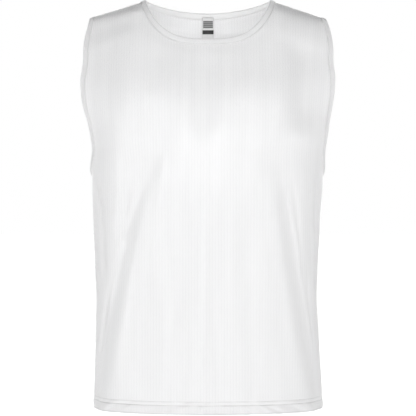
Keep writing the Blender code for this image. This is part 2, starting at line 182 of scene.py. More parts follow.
stitch = {
    "length": 0.0027, "radius": 0.00028, "pitch": 0.0032,
    "sides": 6, "rings": 4,                  # faces round one stitch and along it
    "proud": 0.4,                            # share of its radius that stands clear of the cloth
    "ahead": 0.0005, "hemAhead": 0.001,      # how far on its direction is read, at the hem in w
}
uneven = {                                   # pitch across and down, height
    "streaks": (0.016, 0.110, 0.00028),
    "hang": (0.045, 0.160, 0.00060),
    "handling": (0.011, 0.024, 0.00004),
}
unevenShift, unevenFade = 20, 0.05           # place in the table of random heights; run under the shoulder
pucker = {
    "hemPitch": 0.014, "hemLean": 1.60, "hemLift": 0.00130,   # slanting ripples between hem and stitches
    "hemTall": 0.03, "hemTurn": 0.03,        # their height, and the width where their lean turns over
    "hemFade": (0.004, 0.006),               # where they die away: above the edge and below the stitches
    "hemShift": 30, "hemSeed": 77,
    "seamPitch": 0.0085, "seamReach": 0.007, "seamLift": 0.00028, "seamFade": 0.002,
    "seamShift": (3, 9), "seamSeed": 55,
    "rows": (0.0150, 0.0214), "sink": 0.00060, "sinkWidth": 0.0010,   # stitch rows above the hem's edge
    "groove": 0.00045, "grooveWidth": 0.0020,
    "dip": 0.0016, "dipAt": 0.0130, "dipReach": 0.0090,   # the sewing draws the cloth in round the openings,
    "dipFade": 0.02,                         # but not at the shoulder seams
}


def ease(u):
    u = np.clip(u, 0, 1)
    return u * u * (3 - 2 * u)


def smoothTable(name, at):                   # a column of the sections at any level, smooth between rows
    levels = np.array([row[0] for row in sections])
    values = np.array([row[sectionColumns.index(name)] for row in sections])
    slopes = np.gradient(values, levels)
    at = np.clip(at, levels[0], levels[-1])
    k = np.clip(np.searchsorted(levels, at) - 1, 0, len(levels) - 2)
    step = levels[k + 1] - levels[k]
    u = (at - levels[k]) / step
    return (values[k] * (1 + 2 * u) * (1 - u) ** 2 + values[k + 1] * u * u * (3 - 2 * u)
            + step * u * (1 - u) * (slopes[k] * (1 - u) - slopes[k + 1] * u))


# angles round a quarter of the mean section, and the girth up to each
angles = np.linspace(0, pi / 2, quarterSteps)
girths = np.concatenate(([0.0], np.cumsum(np.hypot(
    np.diff(np.sin(angles) ** (2 / sideSharpness)),
    np.diff(depthRatio * np.cos(angles) ** (2 / sideSharpness))))))


def halfWidth(w, down):
    return np.where(w < 0, smoothTable("halfRight", down), smoothTable("halfLeft", down))


def acrossOf(w, z):                          # metres round the body from the centre line
    return w * halfWidth(w, -z) * girths[-1]


def aboveHem(w, z):                          # height over the hem's edge
    return z + cut["length"] - cut["hemRise"] * np.abs(w) ** 3


def shoulderLine(x):
    return -cut["slope"] * (np.hypot(x, cut["soften"]) - np.hypot(cut["neckHalf"], cut["soften"]))


def fallOf(run):                             # height lost over a run of cloth from the shoulder line
    turn = cut["arch"] * pi / 2
    return np.where(run < turn, cut["arch"] * (1 - np.cos(run / cut["arch"])), cut["arch"] + run - turn)


def runOf(fall):                             # and the run that loses it
    fall = np.maximum(fall, 0.0)
    turned = cut["arch"] * np.arccos(np.clip(1 - fall / cut["arch"], -1, 1))
    return np.where(fall < cut["arch"], turned, fall + cut["arch"] * (pi / 2 - 1))


def archShare(run):                          # of the depth that the cloth has where it hangs straight
    return np.sin(np.minimum(run / cut["arch"], pi / 2))


def formPoint(side, w, v):                   # w: share of the half-girth, v: run down the cloth
    angle = np.interp(np.abs(w), girths / girths[-1], angles)
    z = -np.asarray(v, dtype=float)
    for _ in range(rounds):
        x = np.sign(w) * halfWidth(w, -z) * np.sin(angle) ** (2 / sideSharpness)
        z = shoulderLine(x) - fallOf(v)
    depth = smoothTable(sideName[side], -z)
    y = side * depth * np.cos(angle) ** (2 / smoothTable("squareness", -z)) * archShare(v)
    return np.stack((x, y, z), axis=-1)


def formNormal(side, w, v):                  # level with the seam along both seams
    d = 0.002                                # reach of the slopes, in w and in metres of v
    across = formPoint(side, np.clip(w + d, -1, 1), v) - formPoint(side, np.clip(w - d, -1, 1), v)
    down = formPoint(side, w, v + d) - formPoint(side, w, v - d)
    n = side * np.cross(across, down)
    n[(np.abs(w) > 1 - 1e-6) | (v < 1e-6), 1] = 0.0
    return n / np.linalg.norm(n, axis=-1, keepdims=True)


def foldLift(side, w, z):
    across = acrossOf(w, z)
    total = np.zeros_like(across)
    for row in folds:
        fold = dict(zip(foldColumns, row))
        if fold["side"] != side:
            continue
        u = (-z - fold["top"]) / (fold["bottom"] - fold["top"])
        path = (fold["atTop"] * (1 - u) * (1 - 2 * u) + fold["atMiddle"] * 4 * u * (1 - u)
                + fold["atBottom"] * u * (2 * u - 1))
        ends = ease(u / foldFade) * ease((1 - u) / foldFade)
        total += fold["lift"] * ends * np.exp(-((across - path) / fold["width"]) ** 2)
    return total * ease((1 - np.abs(w)) / seamFade)


def soften(x, y, seed):                      # smooth random heights from -1 to 1, a new one at each unit
    table = np.random.default_rng(seed).uniform(-1, 1, (64, 64))
    i, j = np.floor(x).astype(int), np.floor(y).astype(int)
    s, t = ease(x - i), ease(y - j)
    near = table[i % 64, j % 64] * (1 - s) + table[(i + 1) % 64, j % 64] * s
    far = table[i % 64, (j + 1) % 64] * (1 - s) + table[(i + 1) % 64, (j + 1) % 64] * s
    return near * (1 - t) + far * t


def creaseLift(side, across, down):
    total = np.zeros_like(across)
    for row in creases:
        crease = dict(zip(creaseColumns, row))
        if crease["side"] != side:
            continue
        reach = (crease["toAcross"] - crease["across"], crease["toDown"] - crease["down"])
        length = np.hypot(*reach)
        right, fall = across - crease["across"], down - crease["down"]
        t = (right * reach[0] + fall * reach[1]) / length ** 2
        off = (fall * reach[0] - right * reach[1]) / length - crease["bow"] * 4 * t * (1 - t)
        width = np.where(off < 0, crease["before"], crease["past"])
        ends = ease(t / creaseFade) * ease((1 - t) / creaseFade)
        total += crease["lift"] * ends * np.exp(-(off / width) ** 2)
    return total


def fullnessLift(side, across, down):
    total = np.zeros_like(across)
    for row in fullness:
        full = dict(zip(fullnessColumns, row))
        if full["side"] == side:
            total += full["lift"] * np.exp(-((across - full["across"]) / full["reachAcross"]) ** 2
                                           - ((down - full["down"]) / full["reachDown"]) ** 2)
    return total


def unevenLift(side, w, across, down):       # fine unevenness, which dies away at the seams
    total = np.zeros_like(across)
    for seed, (pitchAcross, pitchDown, height) in enumerate(uneven.values()):
        total += height * soften(across / pitchAcross + unevenShift, down / pitchDown, 10 * seed + side + 5)
    return total * ease((1 - np.abs(w)) / seamFade) * ease(down / unevenFade)


def seamLift(side, across, w, z):            # puckers at the hem and the side seams, and the rows' grooves
    down = -z
    up = aboveHem(w, z)
    low, high = pucker["hemFade"]
    between = ease(up / low) * ease((pucker["rows"][1] - up) / high)
    slant = across + pucker["hemLean"] * up * np.tanh(across / pucker["hemTurn"])
    ripple = soften(slant / pucker["hemPitch"] + pucker["hemShift"], up / pucker["hemTall"],
                    pucker["hemSeed"] + side)
    total = pucker["hemLift"] * ripple * between
    for row in pucker["rows"]:
        total -= pucker["sink"] * np.exp(-((up - row) / pucker["sinkWidth"]) ** 2)
    beside = (1 - np.abs(w)) * halfWidth(w, down) * girths[-1]
    apart, shift = pucker["seamShift"]
    total += (pucker["seamLift"]
              * soften(down / pucker["seamPitch"], apart * np.sign(w) + shift, pucker["seamSeed"] + side)
              * ease(beside / pucker["seamFade"]) * np.exp(-(beside / pucker["seamReach"]) ** 2))
    return total - pucker["groove"] * np.exp(-(beside / pucker["grooveWidth"]) ** 2)


def pastOval(first, second, reach, powers):  # how far a place lies outside an oval, roughly
    (far, deep), (a, b) = reach, powers
    p, q = first / far, second / deep
    return (p ** a + q ** b - 1) / np.hypot(a * p ** (a - 1) / far, b * q ** (b - 1) / deep + 1e-3)


def edgeDistance(side, point):               # from the edges of the neck and the armholes
    x, y, z = np.abs(point[..., 0]), np.abs(point[..., 1]), point[..., 2]
    top, bottom = shoulderLine(cut["shoulderHalf"]), -cut["underarm"]
    neck = pastOval(x, np.maximum(-z, 0), (cut["neckHalf"], cut["neckDrop"][side]), cut["neckCurve"][side])
    arm = pastOval(np.abs(z - (top + bottom) / 2), y, ((top - bottom) / 2, cut["armReach"]), cut["armCurve"])
    return np.minimum(neck, arm)


def clothPoint(side, w, v, height=0.0):
    w, v = np.asarray(w, dtype=float), np.asarray(v, dtype=float)
    point = formPoint(side, w, v)
    z = point[..., 2]
    across = acrossOf(w, z)
    off = (edgeDistance(side, point) - pucker["dipAt"]) / pucker["dipReach"]
    lift = (foldLift(side, w, z) + creaseLift(side, across, -z) + fullnessLift(side, across, -z)
            + unevenLift(side, w, across, -z) + seamLift(side, across, w, z) + height
            - pucker["dip"] * np.exp(-off ** 2) * ease(v / pucker["dipFade"]))
    return point + formNormal(side, w, v) * np.asarray(lift)[..., None]


def girthShare(x, z):                        # the w of a point whose x and z are known
    reach = np.clip(np.abs(x) / halfWidth(x, -z), 0, 1)
    angle = np.arcsin(reach ** (sideSharpness / 2))
    return np.sign(x) * np.interp(angle, angles, girths / girths[-1])


def evenOut(side, w, v, steps):              # the same curve in equal steps
    p = formPoint(side, w, v)
    run = np.concatenate(([0.0], np.cumsum(np.linalg.norm(np.diff(p, axis=0), axis=1))))
    at = np.linspace(0, run[-1], steps + 1)
    return np.interp(at, run, w), np.interp(at, run, v)


def shoulderEnd(inset):
    return cut["shoulderHalf"] - inset / np.hypot(1, cut["slope"])


def neckCurve(side, inset, steps):           # from the wearer's right to left
    half = cut["neckHalf"] + inset / np.hypot(1, cut["slope"])
    top = shoulderLine(half)
    drop = cut["neckDrop"][side] + inset + top
    across, deep = cut["neckCurve"][side]
    turn = np.linspace(pi, 0, edgeSteps)
    x = half * np.sign(np.cos(turn)) * np.abs(np.cos(turn)) ** (2 / across)
    z = top - drop * np.sin(turn) ** (2 / deep)
    v = runOf(shoulderLine(x) - z)
    v[[0, -1]] = 0.0
    return evenOut(side, girthShare(x, z), v, steps)


def armCurve(side, hand, inset, steps):      # from the shoulder down to the side seam
    top, bottom = shoulderLine(shoulderEnd(inset)), -cut["underarm"] - inset
    reach = cut["armReach"] + cut["bandTilt"] * inset
    down, across = cut["armCurve"]
    turn = np.linspace(0, pi, edgeSteps)
    z = (top + bottom) / 2 + (top - bottom) / 2 * np.sign(np.cos(turn)) * np.abs(np.cos(turn)) ** (2 / down)
    y = reach * np.sin(turn) ** (2 / across)
    level = z[:, None]                       # every height against every angle round the body
    run = runOf(shoulderLine(halfWidth(hand, -level) * np.sin(angles) ** (2 / sideSharpness)) - level)
    deep = (smoothTable(sideName[side], -level)
            * np.cos(angles) ** (2 / smoothTable("squareness", -level)) * archShare(run))
    w = np.array([np.interp(-y[i], -deep[i], girths / girths[-1]) for i in range(len(z))])
    v = np.array([np.interp(-y[i], -deep[i], run[i]) for i in range(len(z))])
    w[0], v[0], w[-1] = girthShare(shoulderEnd(inset), top), 0.0, 1.0
    return evenOut(side, hand * w, v, steps)


def hemRun(w, up=0.0):                       # the run of the hem at each w, or of a line a little above it
    z = -cut["length"] + cut["hemRise"] * np.abs(w) ** 3 + up
    v = -z
    for _ in range(rounds):
        v = runOf(shoulderLine(formPoint(front, w, v)[..., 0]) - z)
    return v


def newMesh(obj, points):                    # moves a primitive's vertices to their places
    obj.data.vertices.foreach_set("co", np.asarray(points, dtype=np.float32).ravel())
    obj.data.update()


def storeVector(obj, name, values):
    layer = obj.data.attributes.new(name, "FLOAT_VECTOR", "POINT")
    layer.data.foreach_set("vector", np.asarray(values, dtype=np.float32).ravel())


def finishPiece(obj, name, material, slot, *nodes):
    obj.name = obj.data.name = name
    obj.data.materials.clear()
    obj.data.materials.append(material)
    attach(obj, "root")
    if nodes:
        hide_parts(*nodes)
    obj.select_set(False)
    return obj


class Sock:
    # a shader socket that reads like a number
    def __init__(self, tree, out):
        self.tree, self.out = tree, out

    def math(self, operation, a, b=None):
        return self.tree.node("Math", {"operation": operation}, {0: a} if b is None else {0: a, 1: b})

    def __add__(self, other): return self.math("ADD", self, other)
    def __radd__(self, other): return self.math("ADD", other, self)
    def __sub__(self, other): return self.math("SUBTRACT", self, other)
    def __rsub__(self, other): return self.math("SUBTRACT", other, self)
    def __mul__(self, other): return self.math("MULTIPLY", self, other)
    def __rmul__(self, other): return self.math("MULTIPLY", other, self)
    def cos(self): return self.math("COSINE", self)
    def abs(self): return self.math("ABSOLUTE", self)
    def above(self, least): return self.math("MAXIMUM", self, least)

    def step(self, low, high):               # 0 below low, 1 above high, smooth between
        return self.tree.node("MapRange", {"interpolation_type": "SMOOTHSTEP"},
                              {"Value": self, "From Min": low, "From Max": high})

    def within(self, low, high, edge):       # 1 between low and high, with smooth edges inside them
        return self.step(low, low + edge) * (1 - self.step(high - edge, high))


class Tree:
    # a node tree, built from node() calls
    def __init__(self, owner):
        owner.use_nodes = True
        self.nodes, self.links = owner.node_tree.nodes, owner.node_tree.links

    def node(self, kind, settings=None, sockets=None, output=0):
        made = self.nodes.new("ShaderNode" + kind)
        for key, value in (settings or {}).items():
            setattr(made, key, value)
        for key, value in (sockets or {}).items():
            self.plug(made.inputs[key], value)
        return Sock(self, made.outputs[output])

    def plug(self, socket, value):
        if isinstance(value, Sock):
            self.links.new(value.out, socket)
        else:
            socket.default_value = value

    def mix(self, factor, a, b):             # two colours
        made = self.nodes.new("ShaderNodeMix")
        made.data_type = "RGBA"
        self.plug(made.inputs["Factor"], factor)
        self.plug(made.inputs["A"], a)
        self.plug(made.inputs["B"], b)
        return Sock(self, made.outputs["Result"])

    def parts(self, vector):
        return [self.node("SeparateXYZ", None, {0: vector}, output=axis) for axis in "XYZ"]


class Finish(Tree):
    # a material with a Principled shader; its piece's dictionary gives what is the same all over
    even = {
        "gloss": "Specular IOR Level", "sheen": "Sheen Weight", "sheenRoughness": "Sheen Roughness",
        "satin": "Coat Weight", "satinRoughness": "Coat Roughness",
        "through": "Subsurface Weight", "spread": "Subsurface Radius", "deep": "Subsurface Scale",
    }

    def __init__(self, name, values):
        self.material = bpy.data.materials.new(name)
        super().__init__(self.material)
        self.shader = self.nodes["Principled BSDF"]
        for key, socket in self.even.items():
            if key in values:
                self.shader.inputs[socket].default_value = values[key]

    def place(self, attribute):              # a vector attribute in metres: its three parts and the whole
        whole = self.node("Attribute", {"attribute_name": attribute}, output="Vector")
        return self.parts(whole) + [whole]

    def noise(self, where, scale, detail):
        return self.node("TexNoise", None, {"Vector": where, "Scale": scale, "Detail": detail}, output=0)

    def shade(self, colour, roughness, height, depth):
        self.plug(self.shader.inputs["Base Color"], colour)
        self.plug(self.shader.inputs["Roughness"], roughness)
        self.plug(self.shader.inputs["Normal"], self.node(
            "Bump", None, {"Height": height, "Distance": depth, "Strength": 1.0}, output="Normal"))
        return self.material


def grey(value, cool=0.0):
    return (value, value, value + cool, 1.0)


black, white = grey(0.0), grey(1.0)


knit = {
    "across": 0.0025,                        # from eyelet to eyelet in a row
    "down": 0.0021,
    "rib": 0.0050,                           # every second wale stands a little proud
    # the proud wales are painted paler, a painted highlight on their tops
    "ribPaintedHighlight": 0.97, "ribShare": 0.25,
    "yarn": 0.90, "varies": 0.014, "cool": 0.006,
    "streak": (1.0, 0.06, 0.06),             # the yarn varies from wale to wale more than down them
    "streakScale": 60.0, "streakRange": (0.35, 0.65),
    # painted shade: the eyelets' grey stands in for the shade seen through the mesh's holes
    "eyelet": 0.62, "eyeletRange": (0.35, 0.80), "eyeletRough": 0.2,
    "hole": 0.00085, "shade": (0.36, 0.58),  # painted shade where the needle holes and furrow lie between the hem's stitches, a value for each row
    "beat": (0.55, 0.45),                    # how dark a row is on average, and how that swings between holes
    "drawnScale": 45.0, "drawnRange": (0.30, 0.62), "drawnLeast": 0.25,   # how tightly the thread is drawn
    "hemPaintedShade": 0.045,                       # painted shade: the hem is two layers thick, so less light soaks through it, and its band is painted darker
    "edge": (0.0012, 0.0036), "hemFoldPaintedShade": 0.13,   # painted shade along its rounded fold, heights above the edge
    "relief": (0.80, 0.08, 0.36),            # shares of the eyelets, the wales and the ribs
    "depth": 0.00006,
    "roughness": 0.50, "gloss": 0.45,
    "satin": 0.45, "satinRoughness": 0.28,   # the smooth gloss of the yarn over the knit's relief
    "sheen": 0.15, "sheenRoughness": 0.35,
    "through": 0.40, "deep": 0.004,          # share of the light that soaks through, and how far
    "spread": (1, 1, 1),                     # the same for each colour
}


def meshKnit(name):
    f = Finish(name, knit)
    across, down, up, whole = f.place("cloth")
    a, b = across * (2 * pi / knit["across"]), down * (2 * pi / knit["down"])
    lattice = a.cos() * b.cos()              # +1 in an eyelet, staggered from row to row
    eyelet = lattice.step(*knit["eyeletRange"])
    rib = (across * (2 * pi / knit["rib"])).cos()
    drawnOut = f.node("VectorMath", {"operation": "MULTIPLY"}, {0: whole, 1: knit["streak"]})
    streaks = f.noise(drawnOut, knit["streakScale"], 3.0).step(*knit["streakRange"])
    yarn = f.mix(streaks, grey(knit["yarn"] - knit["varies"], knit["cool"]),
                 grey(knit["yarn"] + knit["varies"], knit["cool"]))
    # painted shade in the eyelets
    colour = f.mix(eyelet, yarn, grey(knit["eyelet"], 0.01))
    # painted highlight: the wales are paler where they stand proud
    colour = f.mix(rib.step(-1.0, 1.0) * knit["ribShare"], colour, grey(knit["ribPaintedHighlight"]))
    holes = knit["beat"][0] - (across * (2 * pi / stitch["pitch"])).cos() * knit["beat"][1]
    drawn = f.noise(whole, knit["drawnScale"], 1.0).step(*knit["drawnRange"])
    tight = knit["drawnLeast"] + drawn * (1 - knit["drawnLeast"])
    # painted shade along each stitch row, where its needle holes and furrow lie
    for at, shade in zip(pucker["rows"], knit["shade"]):
        row = 1 - (up - at).abs().step(knit["hole"] * 0.5, knit["hole"])
        colour = f.mix(row * holes * tight, colour, grey(shade))
    lowRow = pucker["rows"][0]
    # painted shade over the two-layer hem below the lower stitch row
    hem = (1 - up.step(lowRow - knit["hole"], lowRow + knit["hole"])) * knit["hemPaintedShade"]
    # painted shade on the hem's rounded fold
    fold = (1 - up.step(*knit["edge"])) * knit["hemFoldPaintedShade"]
    colour = f.mix(hem + fold, colour, black)
    net, wales, ribs = knit["relief"]
    height = (1 - eyelet) * net + (a * 2).cos() * wales + rib * ribs
    return f.shade(colour, knit["roughness"] + eyelet * knit["eyeletRough"], height, knit["depth"])


band = {
    "pitch": 0.0011, "squat": 0.8, "slant": 1.2,           # of its stitches: across, height to width, V shape
    "yarn": 0.88, "varies": (-0.015, 0.010), "cool": 0.006,
    "cloudScale": 60.0, "cloudRange": (0.3, 0.7),
    "between": 0.86, "loopRange": (0.0, 0.5),              # painted shade of the yarn between the loops
    "fold": (0.0080, 0.0094, 0.0112, 0.0122), "foldPaintedShade": 0.91,   # painted shade around the strip's fold, from its seam
    "seam": (0.0005, 0.0018), "seamPaintedShade": 0.90,           # painted shade in the ditch where the strip is sewn down
    "inner": (0.0126, 0.0140), "innerPaintedLight": 0.94, "innerShare": 0.8,   # the side that lies against the neck, painted paler as painted light
    "depth": 0.00008, "roughness": 0.6, "loopRough": 0.05, "gloss": 0.4,
    "sheen": 0.2, "sheenRoughness": 0.35, "through": 0.80, "deep": 0.008, "spread": (1, 1, 1),
}


def bandKnit(name):
    f = Finish(name, band)
    along, across, _, whole = f.place("cloth")
    wale = (across * (2 * pi / band["pitch"])).cos()
    course = (along * (2 * pi / (band["pitch"] * band["squat"])) + wale * band["slant"]).cos()
    loops = (wale * 0.5 + 0.5) * (course * 0.5 + 0.5)
    cloud = f.noise(whole, band["cloudScale"], 2.0).step(*band["cloudRange"])
    yarn = f.mix(cloud, *[grey(band["yarn"] + more, band["cool"]) for more in band["varies"]])
    # painted shade between the loops
    colour = f.mix(loops.step(*band["loopRange"]), grey(band["yarn"] * band["between"], band["cool"]), yarn)
    # painted light: the strip's inner face is painted paler
    colour = f.mix(across.step(*band["inner"]) * band["innerShare"], colour, grey(band["innerPaintedLight"]))
    # painted shade around the strip's fold
    fold = across.step(*band["fold"][:2]) * (1 - across.step(*band["fold"][2:]))
    colour = f.mix(fold * (1 - band["foldPaintedShade"]), colour, black)
    # painted shade along the strip's seam
    sewn = 1 - across.step(*band["seam"])
    colour = f.mix(sewn * (1 - band["seamPaintedShade"]), colour, black)
    return f.shade(colour, band["roughness"] + loops * band["loopRough"], loops, band["depth"])


thread = {
    # painted shade: the thread is darker in the grooves between its plies
    "ply": 0.0006, "plyRange": (-1.0, 0.4), "dark": 0.74, "light": 0.89, "depth": 0.00006,
    "roughness": 0.5, "plyRough": 0.05, "gloss": 0.5, "sheen": 0.1, "sheenRoughness": 0.3,
}


def sewingThread(name):
    f = Finish(name, thread)
    along = f.place("cloth")[0]
    ply = (along * (2 * pi / thread["ply"])).cos()
    # painted shade in the ply grooves
    colour = f.mix(ply.step(*thread["plyRange"]), grey(thread["dark"]), grey(thread["light"]))
    return f.shade(colour, thread["roughness"] + ply * thread["plyRough"], ply, thread["depth"])


satin = {                                    # places are metres down from its top and across from its middle
    "yarn": 0.80, "weave": (0.0005, 0.0004), "depth": 0.00004,
    "roughness": 0.45, "weaveRough": 0.05, "gloss": 0.5, "sheen": 0.1, "sheenRoughness": 0.3,
    "block": (0.0052, 0.0192), "blockHalf": 0.0088, "blockGrey": 0.17,
    "lines": 4, "lineRange": (0.55, 0.9), "lineShare": 0.5,   # paler rules across the grey block
    "bar": (0.0226, 0.0300), "barHalf": 0.0100, "barGrey": 0.015,
    "edge": 0.0003,
}


def labelSatin(name):
    f = Finish(name, satin)
    across, down, _, _ = f.place("cloth")
    weave = (across * (2 * pi / satin["weave"][0])).cos() * (down * (2 * pi / satin["weave"][1])).cos()
    inBlock, inBar = [down.within(*satin[mark], satin["edge"])
                      * (1 - across.abs().step(satin[mark + "Half"] - satin["edge"], satin[mark + "Half"]))
                      for mark in ("block", "bar")]
    top, bottom = satin["block"]
    pitch = (bottom - top) / satin["lines"]
    lines = ((down - top) * (2 * pi / pitch)).cos().step(*satin["lineRange"])
    colour = f.mix(inBlock * (1 - lines * satin["lineShare"]), grey(satin["yarn"]), grey(satin["blockGrey"]))
    colour = f.mix(inBar, colour, grey(satin["barGrey"]))
    return f.shade(colour, satin["roughness"] + weave * satin["weaveRough"], weave, satin["depth"])


clothFinish = meshKnit("meshKnit")
bandFinish = bandKnit("bandKnit")
threadFinish = sewingThread("sewingThread")
labelFinish = labelSatin("labelSatin")
print("finishes made")


panel = {
    "shoulder": 9, "neck": 32, "arm": 16, "side": 26,   # steps along each edge before refining
    "refine": 2,                             # times that the steps are halved
    "passes": (500, 60, 60),                 # smoothing passes at each refining
    "hemZone": 0.0240, "hemSteps": 16,       # evenly spaced rows from the edge to just above the stitches
    "wall": 0.0012,
    "hemWall": 0.0026,
    "bevel": 0.0004, "bevelSteps": 2, "bevelAngle": 50,
    "flat": (0.55, 0.76), "area": 0.345,     # its cut, flat
}


def fillPattern(side):                       # evenly filled grid of w and v between a panel's edges
    inset = cut["band"] + cut["seam"] / 2
    grid = None
    for level in range(panel["refine"] + 1):
        k = 2 ** level
        neckW, neckV = neckCurve(side, inset, panel["neck"] * k)
        end = abs(formPoint(side, neckW[:1], neckV[:1])[0, 0])
        shoulder = np.linspace(shoulderEnd(inset), end, panel["shoulder"] * k + 1)[:-1]
        shoulderW = girthShare(shoulder, shoulderLine(shoulder))
        top = np.stack((np.concatenate((-shoulderW, neckW, shoulderW[::-1])),
                        np.concatenate((0 * shoulder, neckV, 0 * shoulder))), axis=-1)
        bottomW = np.linspace(-1, 1, len(top))
        bottom = np.stack((bottomW, hemRun(bottomW, panel["hemZone"])), axis=-1)
        edges = []
        for hand in (-1, 1):
            armW, armV = armCurve(side, hand, inset, panel["arm"] * k)
            sideV = np.linspace(armV[-1], hemRun(np.array([float(hand)]), panel["hemZone"])[0],
                                panel["side"] * k + 1)[1:]
            edges.append(np.stack((np.concatenate((armW, hand + 0 * sideV)),
                                   np.concatenate((armV, sideV))), axis=-1))
        right, left = edges
        if grid is None:
            t = ((right[:, 1] - right[0, 1]) / (right[-1, 1] - right[0, 1]))[:, None, None]
            s = ((top[:, 0] - top[0, 0]) / (top[-1, 0] - top[0, 0]))[None, :, None]
            grid = ((1 - s) * right[:, None] + s * left[:, None] + (1 - t) * top[None]
                    + t * bottom[None] - (1 - t) * ((1 - s) * right[0] + s * left[0])
                    - t * ((1 - s) * right[-1] + s * left[-1]))
        else:
            fine = np.empty((2 * grid.shape[0] - 1, 2 * grid.shape[1] - 1, 2))
            fine[::2, ::2] = grid
            fine[1::2, ::2] = (grid[:-1] + grid[1:]) / 2
            fine[:, 1::2] = (fine[:, :-2:2] + fine[:, 2::2]) / 2
            grid = fine
            grid[0], grid[-1], grid[:, 0], grid[:, -1] = top, bottom, right, left
        for _ in range(panel["passes"][level]):
            grid[1:-1, 1:-1] = (grid[:-2, 1:-1] + grid[2:, 1:-1] + grid[1:-1, :-2] + grid[1:-1, 2:]) / 4
    hemW = np.tile(grid[-1, :, 0], (panel["hemSteps"], 1))
    ups = panel["hemZone"] * (1 - np.arange(1, panel["hemSteps"] + 1) / panel["hemSteps"])
    hemV = np.array([hemRun(hemW[0], up) for up in ups])
    return np.concatenate((grid[..., 0], hemW)), np.concatenate((grid[..., 1], hemV))


def clothSheet(points, placed):              # a grid primitive laid over rows of points
    rows, cols = points.shape[:2]
    bpy.ops.object.select_all(action="DESELECT")
    bpy.ops.mesh.primitive_grid_add(x_subdivisions=cols - 1, y_subdivisions=rows - 1, size=1)
    obj = bpy.context.object
    newMesh(obj, points)
    storeVector(obj, "cloth", placed)
    obj.data.shade_smooth()
    return obj


def applyAll(obj):
    bpy.context.view_layer.objects.active = obj
    for modifier in list(obj.modifiers):
        bpy.ops.object.modifier_apply(modifier=modifier.name)


def makePanel(side):
    w, v = fillPattern(side)
    points = clothPoint(side, w, v)
    smooth = formPoint(side, w, v)[..., 2]
    placed = np.stack((acrossOf(w, smooth), v, aboveHem(w, smooth)), axis=-1)
    if side == front:                        # rows run upwards, so that the faces point outwards
        points, placed = points[::-1], placed[::-1]
    else:
        points, placed = points[::-1, ::-1], placed[::-1, ::-1]
    obj = clothSheet(points, placed)
    rows, cols = points.shape[:2]
    hemRows = int(cut["hem"] / panel["hemZone"] * panel["hemSteps"]) + 1
    hem = obj.vertex_groups.new(name="hem")
    hem.add(list(range(cols * hemRows)), 1.0, "REPLACE")
    hem.add(list(range(cols * hemRows, rows * cols)), panel["wall"] / panel["hemWall"], "REPLACE")
    wall = obj.modifiers.new("wall", "SOLIDIFY")
    wall.thickness, wall.offset, wall.vertex_group = panel["hemWall"], -1, "hem"
    edge = obj.modifiers.new("edge", "BEVEL")
    edge.width, edge.segments = panel["bevel"], panel["bevelSteps"]
    edge.angle_limit = radians(panel["bevelAngle"])
    applyAll(obj)
    return obj


for side in (front, back):
    name = sideName[side] + "Panel"
    piece = makePanel(side)
    finishPiece(piece, name, clothFinish, "mesh_polyester", sideName[side] + "_panel")
    print(name, len(piece.data.polygons), "faces")


binding = {
    "around": 256,                           # points along each ring, front and back together
    "outer": 0.0007,                         # how far the strip stands over the cloth
    "inner": -0.0021,
    "dome": 0.0003,
    "round": 0.0009,
    "outside": 17, "edge": 9, "inside": 8,   # points across the strip's outer face, edge and inner face
    "bend": 0.0003, "bendShare": 0.6,        # where it turns in to the seam, and the share of its wall there
    "neckRows": (0.0085,),                   # stitch rows, from the opening's edge
    "armRows": (0.0088, 0.0046),
    "sink": 0.00035,                         # how far a row pulls the strip in
    "sinkWidth": 0.0006,
    "flat": 0.012,                           # its width and its edge's thickness, flat
    "neckLength": 0.83, "armLength": 0.68,   # and how long it is, flat
}


def bandHeight(inset, rows):                 # of the strip's outer face over the cloth
    share = np.clip(inset / cut["band"], 0, 1)
    height = binding["outer"] + binding["dome"] * np.sin(pi * share)
    for row in rows:
        height = height - binding["sink"] * np.exp(-((inset - row) / binding["sinkWidth"]) ** 2)
    return height


def bandProfile(rows):
    last = cut["band"] - cut["seam"] / 2
    middle = (binding["outer"] + binding["inner"]) / 2
    half = (binding["outer"] - binding["inner"]) / 2
    outsideInsets = np.linspace(last - binding["bend"], binding["round"], binding["outside"])
    outside = [(inset, bandHeight(inset, rows)) for inset in outsideInsets]
    turn = np.linspace(0, pi, binding["edge"])[1:-1]
    edge = [(binding["round"] * (1 - np.sin(a)), middle + half * np.cos(a)) for a in turn]
    insideInsets = np.linspace(binding["round"], last - binding["bend"], binding["inside"])
    inside = [(inset, binding["inner"]) for inset in insideInsets]
    seam = [(last, middle + half * share) for share in (-binding["bendShare"], binding["bendShare"])]
    return outside + edge + inside + seam


def makeBinding(curve, rows, mirrored=False):
    profile = bandProfile(rows)
    loops, placed = [], []
    girth = 0.0
    for inset, height in profile:
        frontW, frontV = curve(front, inset, halfSteps)
        backW, backV = curve(back, inset, halfSteps)
        lead = clothPoint(front, frontW, frontV, height)
        trail = clothPoint(back, backW, backV, height)
        lead[[0, -1], 1] = 0.0
        loop = np.concatenate((lead, trail[-2:0:-1]))
        if loops:
            girth += np.linalg.norm(loop - loops[-1], axis=1).mean()
        step = np.linalg.norm(np.roll(loop, -1, axis=0) - loop, axis=1)
        run = np.concatenate(([0.0], np.cumsum(step)[:-1]))
        placed.append(np.stack((run, 0 * run + girth, 0 * run), axis=-1))
        loops.append(loop)
    loops, placed = np.array(loops), np.array(placed)
    if not mirrored:
        loops, placed = loops[::-1], placed[::-1]
    bpy.ops.object.select_all(action="DESELECT")
    bpy.ops.mesh.primitive_torus_add(major_segments=loops.shape[1], minor_segments=loops.shape[0],
                                     major_radius=0.2, minor_radius=0.01)
    obj = bpy.context.object
    newMesh(obj, loops.transpose(1, 0, 2))
    storeVector(obj, "cloth", placed.transpose(1, 0, 2))
    obj.data.shade_smooth()
    return obj


